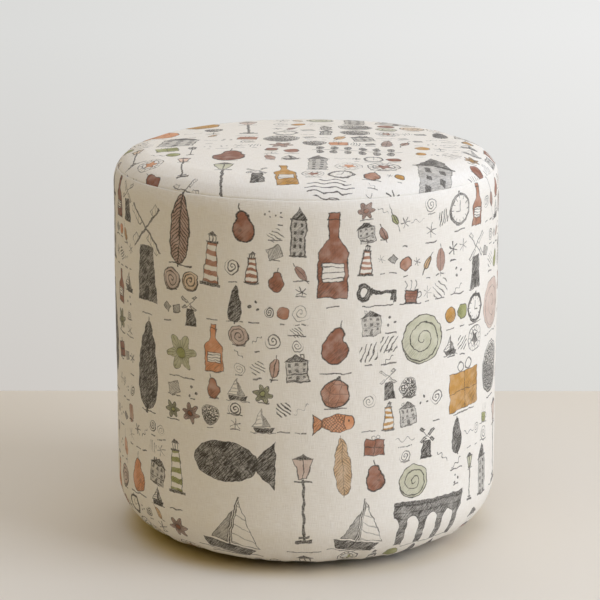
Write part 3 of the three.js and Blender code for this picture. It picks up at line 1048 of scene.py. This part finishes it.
def settled_band():
    """How far the band has moved out, ring by ring. The wadding gives back the same all round, so
    only what differs round a ring is kept, and no point goes farther than a millimetre or so."""
    start, as_cut, outward = [], [], []
    for s in [0, *even(0, BAND_DEPTH, NET_ROWS)]:
        r, z, out_r, out_z = band_point(s)
        full = EASE + FULLNESS * within((s - BAND_BOTTOM + 0.02) / 0.08)
        for a in turns(NET_COLUMNS):
            out = on_circle(out_r, a, out_z)
            place = on_circle(r, a, z) + out * drawn_on(a, s)
            start.append(place)
            as_cut.append(Vector((place.x * full, place.y * full, place.z)))
            outward.append(out)
    faces = [(a, d, c, b) for a, b, c, d in round_faces(NET_ROWS + 1, NET_COLUMNS)]
    net = new_piece("settling_net", start, faces, cloth)
    last_ring = NET_ROWS * NET_COLUMNS
    held = [*range(NET_COLUMNS), *range(last_ring, last_ring + NET_COLUMNS)]
    places = settle(net, as_cut, held)
    both = zip(places, start, outward, strict=True)
    moved = [(place - first).dot(out) for place, first, out in both]
    rings = []
    for row in range(NET_ROWS + 1):
        ring = moved[row * NET_COLUMNS:(row + 1) * NET_COLUMNS]
        middle = sum(ring) / NET_COLUMNS
        rings.append([FARTHEST * tanh((way - middle) / FARTHEST) for way in ring])
    return rings


def settled(angle, s):
    """The settled way out at any point of the band, between the points of the net."""
    place = within(s / BAND_DEPTH) * NET_ROWS
    row = min(int(place), NET_ROWS - 1)
    turn = angle / (2 * pi) % 1 * NET_COLUMNS
    column = int(turn) % NET_COLUMNS
    ways = []
    for ring in band_rings[row:row + 2]:
        here, after = ring[column], ring[(column + 1) % NET_COLUMNS]
        ways.append(here + (after - here) * (turn % 1))
    return ways[0] + (ways[1] - ways[0]) * (place - row)


band_rings = settled_band()


def band_lift(angle, s):
    around = on_circle(1, angle)
    from_side = abs(sin(angle)) * RADIUS
    lift = seam_lift(s) + seam_lift(from_side, SEAM_RISE / 2) + puckers(around, s)
    below = s - BAND_BOTTOM
    loose = drawn_on(angle, s) + folds(angle, below)
    if band_rings:
        loose += settled(angle, s)
    flattened = within((STAPLED_FLAT - below) / 0.025, 0.08)
    return lift + loose * flattened


def top_lift(angle, s):
    around = on_circle(1, angle)
    lift = seam_lift(s - TOP_REACH) + puckers(around, s - TOP_REACH)
    return lift + swells(around * (s / TOP_REACH), SEAM_TOP)


def strip(low, high, turn=1):
    """Faces of four corners between two rows of points."""
    return [quad[::turn] for quad in zip(low, high, high[1:], low[1:], strict=False)]


def cloth_rows(name, rows, point_of, lift_of, angles, lay_flat, whole):
    """A sheet of cloth as rows of points on both faces, closed at its edges. The Cloth map holds
    where each point lies in the flat cloth, in millimetres. The OFBake map fills a square."""
    points, flat, faces, sides = [], [], [], []
    for face, turn in ((0, 1), (1, -1)):
        lines = []
        for s in rows:
            line = list(range(len(points), len(points) + len(angles)))
            lines.append([*line, line[0]] if whole else line)
            r, z, out_r, out_z = point_of(s)
            for a in angles:
                d = lift_of(a, s) - CLOTH * face
                points.append(on_circle(r + d * out_r, a, z + d * out_z))
                flat.append(lay_flat(a, s))
        for low, high in zip(lines, lines[1:], strict=False):
            faces += strip(low, high, turn)
        sides.append(lines)
    front, back = sides
    faces += strip(front[-1], back[-1])
    if whole:
        for face, turn in ((0, 1), (1, -1)):
            points.append((0, 0, point_of(0)[1] + lift_of(0, 0) - CLOTH * face))
            flat.append(lay_flat(0, 0))
            faces += fan(sides[face][0][0], len(angles), len(points) - 1, turn)
    else:
        faces += strip(front[0], back[0], -1)
        for column, turn in ((0, 1), (-1, -1)):
            faces += strip([line[column] for line in front], [line[column] for line in back], turn)

    piece = new_piece(name, points, faces, cloth)
    cloth_map = piece.data.uv_layers.new(name="Cloth")
    bake_map = piece.data.uv_layers.new(name="OFBake")
    cloth_map.active_render = True
    low = [min(p[axis] for p in flat) for axis in (0, 1)]
    wide = [max(p[axis] for p in flat) - low[axis] for axis in (0, 1)]
    for loop in piece.data.loops:
        place = flat[loop.vertex_index]
        share = [(place[axis] - low[axis]) / wide[axis] for axis in (0, 1)]
        cloth_map.data[loop.index].uv = place
        bake_map.data[loop.index].uv = [BAKE_MARGIN + (1 - 2 * BAKE_MARGIN) * part for part in share]
    return piece


# How many rows of points run down the wall, round the bottom and in to the hem, what a side seam
# takes of the way round, and how far the first columns of points are from it.
WALL_ROWS = 56
BOTTOM_ROWS = 76
HEM_ROWS = 10
SIDE_SLACK = 0.00012 / RADIUS
NEAR_SIDE = [0.0, 0.0006, 0.0014, 0.0024, 0.0038]


def band_half(name, first, cut_from):
    """The band is cut in two halves, each from its own stretch of cloth, and joined at the sides."""
    rows = [0, *NEAR_SEAM, BAND_SHOULDER, *even(BAND_SHOULDER, BAND_BOTTOM, WALL_ROWS)]
    rows += [*even(BAND_BOTTOM, BAND_UNDER, BOTTOM_ROWS), *even(BAND_UNDER, BAND_DEPTH, HEM_ROWS)]
    angles = [first + SIDE_SLACK + w / RADIUS for w in NEAR_SIDE]
    spread = pi - 2 * (SIDE_SLACK + NEAR_SIDE[-1] / RADIUS)
    angles += [angles[-1] + spread * i / COLUMNS for i in range(1, COLUMNS + 1)]
    angles += [first + pi - SIDE_SLACK - w / RADIUS for w in NEAR_SIDE[-2::-1]]

    def lay_flat(a, s):
        return a * RADIUS * 1000 + cut_from[0], cut_from[1] - s * 1000

    piece = cloth_rows(name, rows, band_point, band_lift, angles, lay_flat, False)
    return piece


band_front = band_half("printed_band_front", pi, (0, 0))
band_rear = band_half("printed_band_rear", 0, (-90, -143))
stand_for(band_front, "cover_front")
stand_for(band_rear, "cover_rear")

CROWN_ROWS = 40
TOP_CUT_FROM = (1700, 910)


def lay_top_flat(a, s):
    return TOP_CUT_FROM[0] + s * 1000 * cos(a), TOP_CUT_FROM[1] + s * 1000 * sin(a)


top_rows = [*even(0, CROWN_REACH, CROWN_ROWS), *sorted(TOP_REACH - w for w in NEAR_SEAM), TOP_REACH]
top_angles = turns(2 * COLUMNS)
printed_top = cloth_rows(
    "printed_top", top_rows, top_point, top_lift, top_angles, lay_top_flat, True
)
2 * TOP_REACH
2 * TOP_REACH
pi * TOP_REACH**2
stand_for(printed_top, "cover_top")


# The seams are sewn on the wrong side with a strong off-white thread. Pulled tight, they show it
# only as short bars, deep between the two edges.
STITCH = 0.0032
THREAD = 0.00035
THREAD_SUNK = 0.0001
FIRST_STITCH = 0.003
LAST_STITCH = 0.004


def waxed_thread():
    """Off-white polyester thread, with the two plies twisted round each other."""
    finish, start = new_finish("sewing thread", 0.6, sheen=0.2)
    across, deep, up = parts_of(place_in(start))
    ply = ((across + deep + up) * 1800).fold(1)
    return lay_on(finish, ply.between(shade(214, 206, 190), shade(244, 238, 226)), ply, 0.00005)


def stitches(name, places, finish):
    """Small bars of thread. A place is the bar's middle, the way along it, and the way out."""
    points, faces = [], []
    for middle, along, out in places:
        side = along.cross(out).normalized()
        base = len(points)
        for share, thick in ((-1, 0.3), (-0.6, 0.85), (0, 1), (0.6, 0.85), (1, 0.3)):
            centre = middle + along * (share * STITCH * 0.42) - out * (share * share * 0.0003)
            for k in range(6):
                turn = k * pi / 3
                away = side * cos(turn) + out * sin(turn)
                points.append(centre + away * THREAD / 2 * thick)
        faces += round_faces(5, 6, base)
        faces.append([base + k for k in range(5, -1, -1)])
        faces.append([base + 24 + k for k in range(6)])
    return new_piece(name, points, faces, finish)


def seam_place(angle, s, along_seam):
    r, z, out_r, out_z = band_point(s)
    lift = band_lift(angle, s) - THREAD_SUNK
    out = on_circle(out_r, angle, out_z)
    around = Vector((-sin(angle), cos(angle), 0))
    middle = on_circle(r + lift * out_r, angle, z + lift * out_z)
    return middle, around if along_seam else out.cross(around), out


top_count = round(2 * pi * band_point(0)[0] / STITCH)
side_count = int((BAND_UNDER - LAST_STITCH) / STITCH)
sewn = [seam_place(2 * pi * (k + 0.5) / top_count, 0, True) for k in range(top_count)]
for angle in (0.0, pi):
    sewn += [seam_place(angle, FIRST_STITCH + k * STITCH, False) for k in range(side_count)]
seam_thread = stitches("seam_thread", sewn, waxed_thread())
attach(seam_thread, "root")


# A disc of thin black non-woven cloth closes the underside. It covers the hem's raw edge, and sags
# a little between the staples and the glides that hold it.
DUST_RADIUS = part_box("dust_cover")[1].x
DUST_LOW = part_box("dust_cover")[0].z
DUST_THICKNESS = 0.0005
DUST_RINGS = 44
DUST_SPOKES = 128
SAG = 0.0007
CREASE = 0.0005
HELD_ROUND_GLIDE = 0.045
HELD_RADIUS = 0.132


def black_nonwoven():
    """Spun-bonded fibre: near black, matt, with a close grid of tiny pressed points."""
    finish, start = new_finish("black non-woven cloth", 0.9, sheen=0.25)
    place = place_in(start)
    across, deep, _ = parts_of(place)
    a = ((across + deep) * 700).fold(1)
    b = ((across - deep) * 700).fold(1)
    pressed = (1.1 - (a * a + b * b).root() * 1.6).held()
    fibre = blots(stretched(place, 900, 500, 500), 1, 4, 0.7)
    wear = blots(place, 22, 3)
    wool = (fibre * 0.6 + wear * 0.3 - pressed * 0.2).held()
    colour = wool.between(shade(22, 21, 22), shade(62, 60, 60))
    return lay_on(finish, colour, fibre * 0.6 - pressed, 0.00012)


def dust_sag(x, y):
    """How far the cloth hangs below where it is held."""
    r = hypot(x, y)
    held = [Vector((x, y, 0)) - Vector((c.x, c.y, 0)) for c in glide_centres]
    near = min(1, min(v.length for v in held) / HELD_ROUND_GLIDE - 0.3)
    edge = within((HELD_RADIUS - r) / 0.05)
    crease = noise.noise(Vector((x * 24, y * 24, 1.7)))
    crease += 0.5 * noise.noise(Vector((x * 60, y * 60, 4)))
    return max(near, 0) * edge * (SAG + CREASE * crease)


def middle_of(node):
    low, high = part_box(node)
    return (low + high) / 2


glide_centres = [middle_of(f"glide_{k}") for k in range(1, 5)]


def dust_disc():
    points, faces = [], []
    for face in (0, 1):
        for ring in range(1, DUST_RINGS + 1):
            r = DUST_RADIUS * ring / DUST_RINGS
            for a in turns(DUST_SPOKES):
                cut = 0.0005 * noise.noise(on_circle(1, a) * 9) if ring == DUST_RINGS else 0
                x, y = (r + cut) * cos(a), (r + cut) * sin(a)
                points.append((x, y, DUST_LOW + DUST_THICKNESS * face - dust_sag(x, y)))
    back = DUST_RINGS * DUST_SPOKES
    for first, thick, turn in ((0, 0, 1), (back, DUST_THICKNESS, -1)):
        faces += [quad[::turn] for quad in round_faces(DUST_RINGS, DUST_SPOKES, first)]
        points.append((0, 0, DUST_LOW + thick - dust_sag(0, 0)))
        faces += fan(first, DUST_SPOKES, len(points) - 1, -turn)
    edge = back - DUST_SPOKES
    for k in range(DUST_SPOKES):
        a, b = edge + k, edge + (k + 1) % DUST_SPOKES
        faces.append((a, b, back + b, back + a))
    return new_piece("dust_cloth", points, faces, black_nonwoven())


dust_cloth = dust_disc()
stand_for(dust_cloth, "dust_cover")


# Sixteen staples of flat-drawn wire go up through the dust cloth and the hem into the base board.
# Each is bent from one length of wire, with chisel points.
WIRE = 0.0008
STAPLE_WIDTH = 0.010
BEND = 0.0009


def wire_tube(path, sides=8):
    """Points and faces of a round wire along a path, drawn in at both ends to a point."""
    points = []
    across = Vector((1, 0, 0))
    for i, place in enumerate(path):
        ahead = path[min(i + 1, len(path) - 1)] - path[max(i - 1, 0)]
        other = ahead.cross(across).normalized()
        thick = WIRE / 2 * (0.3 if i in (0, len(path) - 1) else 1)
        for k in range(sides):
            turn = 2 * pi * (k + 0.5) / sides
            points.append(place + (across * cos(turn) + other * sin(turn)) * thick)
    faces = round_faces(len(path), sides)
    faces.append(tuple(range(sides - 1, -1, -1)))
    faces.append(tuple(len(points) - sides + k for k in range(sides)))
    return points, faces


def staple_path(low, high):
    """Down one leg, round the bend, along the crown and up the other leg, seen from the side."""
    half = (STAPLE_WIDTH - WIRE) / 2
    crown = low + WIRE / 2
    heights = [high - 0.0002, high - 0.0014, (high + crown) / 2, crown + BEND]
    leg = [(-half, z) for z in heights]
    bend = [
        (-half + BEND - BEND * cos(t), crown + BEND - BEND * sin(t))
        for t in (pi / 8, pi / 4, pi * 3 / 8, pi / 2)
    ]
    one_side = leg + bend
    other = [(-y, z) for y, z in one_side[::-1]]
    return [Vector((0, y, z)) for y, z in one_side + other]


for k in range(1, 17):
    node = f"staple_{k}"
    low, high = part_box(node)
    centre = middle_of(node)
    turn = atan2(centre.y, centre.x)
    bent = 0.0003 * noise.noise(Vector((k * 1.7, 0, 0)))
    points, faces = wire_tube(staple_path(low.z, high.z))
    placed = []
    for p in points:
        lean = p.x + bent * abs(p.y) / (STAPLE_WIDTH / 2)
        x = centre.x + lean * cos(turn) - p.y * sin(turn)
        y = centre.y + lean * sin(turn) + p.y * cos(turn)
        placed.append((x, y, p.z))
    stand_for(new_piece(f"staple_wire_{k}", placed, faces, zinc), node)


# The drum stands on four moulded black nylon glides. Each has a rounded foot, a shallow ring where
# the mould's ejector pressed, and a countersunk hole for its screw.
def black_nylon():
    """Moulded nylon: satin, faintly mottled, rubbed paler where it meets the floor."""
    finish, start = new_finish("black nylon", 0.42)
    place = place_in(start)
    mottle = blots(place, 260, 3)
    scuffs = blots(stretched(place, 900, 260, 900), 1, 3, 0.7)
    _, _, up = parts_of(place)
    rubbed = (1.2 - up * 700).held() * ((scuffs - 0.42) * 4).held()
    colour = (mottle * 0.5).between(shade(34, 32, 31), shade(52, 50, 48))
    colour = (rubbed * 0.6).between(colour, shade(116, 112, 106))
    return lay_on(finish, colour, scuffs + mottle, 0.00003, rubbed * 0.3 + 0.36)


# The foot's outline, in millimetres.
GLIDE_FOOT = [
    (1.90, 4.6), (1.90, 3.3), (2.05, 3.0), (3.35, 1.2), (3.50, 1.0), (3.50, 0.3),
    (3.80, 0.0), (6.80, 0.0), (6.95, 0.2), (7.45, 0.2), (7.60, 0.0), (10.50, 0.0),
    (11.00, 0.12), (11.45, 0.45), (11.78, 0.9), (11.95, 1.4), (11.40, 4.4), (11.20, 4.6),
]
foot_outline = [(r / 1000, z / 1000) for r, z in GLIDE_FOOT]
nylon = black_nylon()
for k in range(1, 5):
    foot = turned(f"nylon_glide_{k}", foot_outline, nylon, steps=72, closed=True)
    centre = glide_centres[k - 1]
    foot.data.transform(Matrix.Translation((centre.x, centre.y, 0)))
    stand_for(foot, f"glide_{k}")


# A short countersunk screw of zinc-plated steel holds each glide to the base board. Its head, with
# a cross recess, sits just inside the glide.
THREAD_PITCH = 0.0013
HEAD = 0.0031
SHANK = 0.00155
CONE_DEPTH = 0.0023
POINT_LENGTH = 0.003
RECESS_DEPTH = 0.0013
RECESS_RADIUS = 0.00075
SLOT_HALF_WIDTH = 0.00045
SCREW_STEPS = 48
RINGS_A_TURN = 10


def countersunk_screw(name, centre, low, high):
    """A flat head with a cross recess, a cone, and a threaded shank that ends in a point."""
    edge = [(0.55, 0.0), (0.93, 0.0), (1.0, 0.04), (1.0, 0.1)]
    rings = [(share * HEAD, low + (high - low) * drop * 0.16) for share, drop in edge]
    cone = low + CONE_DEPTH
    rings += [(HEAD * 0.97, low + 0.0004), (SHANK * 0.92, cone)]
    length = high - cone
    count = int(length / THREAD_PITCH * RINGS_A_TURN)
    rings += [(None, cone + length * i / count) for i in range(1, count)]
    points = [(0, 0, low + RECESS_DEPTH)]
    for r, z in rings:
        for k, a in enumerate(turns(SCREW_STEPS)):
            here = r
            if r is None:
                ridge = abs(((z / THREAD_PITCH - k / SCREW_STEPS) % 1) - 0.5) * 2
                taper = min(1, max((high - z) / POINT_LENGTH, 0.02) ** 0.8)
                here = SHANK * (0.72 + 0.28 * ridge**2) * taper
            points.append(on_circle(here, a, z))
    points.append((0, 0, high))

    # Four slots are cut down into the middle of the head, as the recess.
    for k, a in enumerate(turns(SCREW_STEPS)):
        if min(abs(sin(a)), abs(cos(a))) * HEAD * 0.55 >= SLOT_HALF_WIDTH:
            points[1 + k] = on_circle(RECESS_RADIUS, a, low)
    last = 1 + (len(rings) - 1) * SCREW_STEPS
    faces = fan(1, SCREW_STEPS, 0, -1)
    faces += round_faces(len(rings), SCREW_STEPS, 1)
    faces += fan(last, SCREW_STEPS, len(points) - 1)
    made = new_piece(name, points, faces, zinc, smooth=False)
    made.data.transform(Matrix.Translation((centre.x, centre.y, 0)))
    return made


for k in range(1, 5):
    low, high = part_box(f"glide_screw_{k}")
    screw = countersunk_screw(f"foot_screw_{k}", glide_centres[k - 1], low.z, high.z)
    stand_for(screw, f"glide_screw_{k}")


# The tuffet stands on a plain pale floor in front of a pale wall whose colour is painted light: it
# glows, brighter to the right and higher up. A soft cool lamp, as from a window, stands on the
# right, and the room gives back weaker light, warm from the sides and blue from above. The floor is
# clear from below, so that the underside can be looked at.
FLOOR = 9
WALL_REACH = 4
WALL_BACK = 0.486


def flat_stage(name, corners, finish):
    """One flat face that belongs to the room, and not to the tuffet."""
    sheet = new_piece(name, corners, [(0, 1, 2, 3)], finish, False)
    return sheet


floor_finish, start = new_finish("pale floor", 0.9)
tree = floor_finish.node_tree
surface = tree.nodes["Principled BSDF"]
surface.inputs["Base Color"].default_value = shade(219, 211, 197)
below_it = start.node("ShaderNodeNewGeometry", out="Backfacing")
clear = start.node("ShaderNodeBsdfTransparent")
solid = Tone(tree, surface.outputs[0])
seen = start.node("ShaderNodeMixShader", {0: below_it, 1: solid, 2: clear})
tree.links.new(seen.socket, tree.nodes["Material Output"].inputs["Surface"])
floor_corners = [(-FLOOR, -FLOOR, 0), (FLOOR, -FLOOR, 0), (FLOOR, FLOOR, 0), (-FLOOR, FLOOR, 0)]
flat_stage("floor", floor_corners, floor_finish)


def painted_light_wall():
    """A pale wall that glows with painted light, brighter to the right and higher up. Only the
    camera and shiny things see it, from its front.
    """
    finish = bpy.data.materials.new("wall of painted light")
    finish.use_nodes = True
    tree = finish.node_tree
    tree.nodes.clear()
    start = Tone(tree, None)
    across, _, up = parts_of(place_in(start))
    # Painted light: the wall glows, and its glow is brighter to the right, towards the lamp, and
    # higher up.
    side = (across * 1.4 + 0.5).held()
    height = (up * 2.2).held()
    low = side.between(shade(207, 203, 198), shade(220, 219, 215))
    high = side.between(shade(219, 219, 217), shade(236, 236, 235))
    glow = start.node("ShaderNodeEmission", {"Color": height.between(low, high)})
    clear = start.node("ShaderNodeBsdfTransparent")
    path = start.node("ShaderNodeLightPath", out="Is Camera Ray")
    seen = path.high(path.other("Is Glossy Ray"), path.other("Is Transmission Ray"))
    behind = start.node("ShaderNodeNewGeometry", out="Backfacing")
    shown = seen * (1 - behind)
    mix = start.node("ShaderNodeMixShader", {0: shown, 1: clear, 2: glow})
    output = tree.nodes.new("ShaderNodeOutputMaterial")
    tree.links.new(mix.socket, output.inputs["Surface"])
    return finish


wall_ends = [(-WALL_REACH, 0), (WALL_REACH, 0), (WALL_REACH, WALL_REACH), (-WALL_REACH, WALL_REACH)]
wall = flat_stage("wall", [(x, WALL_BACK, z) for x, z in wall_ends], painted_light_wall())
wall.visible_diffuse = False
wall.visible_shadow = False

LAMP_DISTANCE = 3.0
LAMP_SIZE = 2.0
LAMP_AIM = Vector((0, 0, 0.2))


def soft_lamp(name, azimuth, height, power, colour):
    """A square softbox, so many degrees from the camera's side to the right and so many up."""
    azimuth = radians(azimuth)
    height = radians(height)
    light = bpy.data.lights.new(name, "AREA")
    light.size = LAMP_SIZE
    light.energy = power
    light.color = colour
    lamp = bpy.data.objects.new(name, light)
    across = sin(azimuth) * cos(height)
    away = Vector((across, -cos(azimuth) * cos(height), sin(height)))
    lamp.location = LAMP_AIM + away * LAMP_DISTANCE
    lamp.rotation_euler = away.to_track_quat("Z", "Y").to_euler()
    scene.collection.objects.link(lamp)


soft_lamp("window", 66, 26, 75.5, (0.712, 0.800, 0.975))
soft_lamp("rear fill", 165, 35, 10, (1.0, 1.0, 0.97))

world = bpy.data.worlds.new("room")
scene.world = world
world.use_nodes = True
tree = world.node_tree
start = Tone(tree, None)
direction = start.node("ShaderNodeTexCoord", out="Generated")
_, _, up = parts_of(direction)
heights = [
    (0.25, (0.02, 0.015, 0.01, 1)),
    (0.6, (0.57, 0.38, 0.00, 1)),
    (0.8, (0.88, 0.70, 0.41, 1)),
    (1.0, (1.10, 1.53, 2.45, 1)),
]
glow = up.node("ShaderNodeValToRGB", {0: up}, stops=heights)
tree.links.new(glow.socket, tree.nodes["Background"].inputs["Color"])
scene.view_settings.view_transform = "Standard"
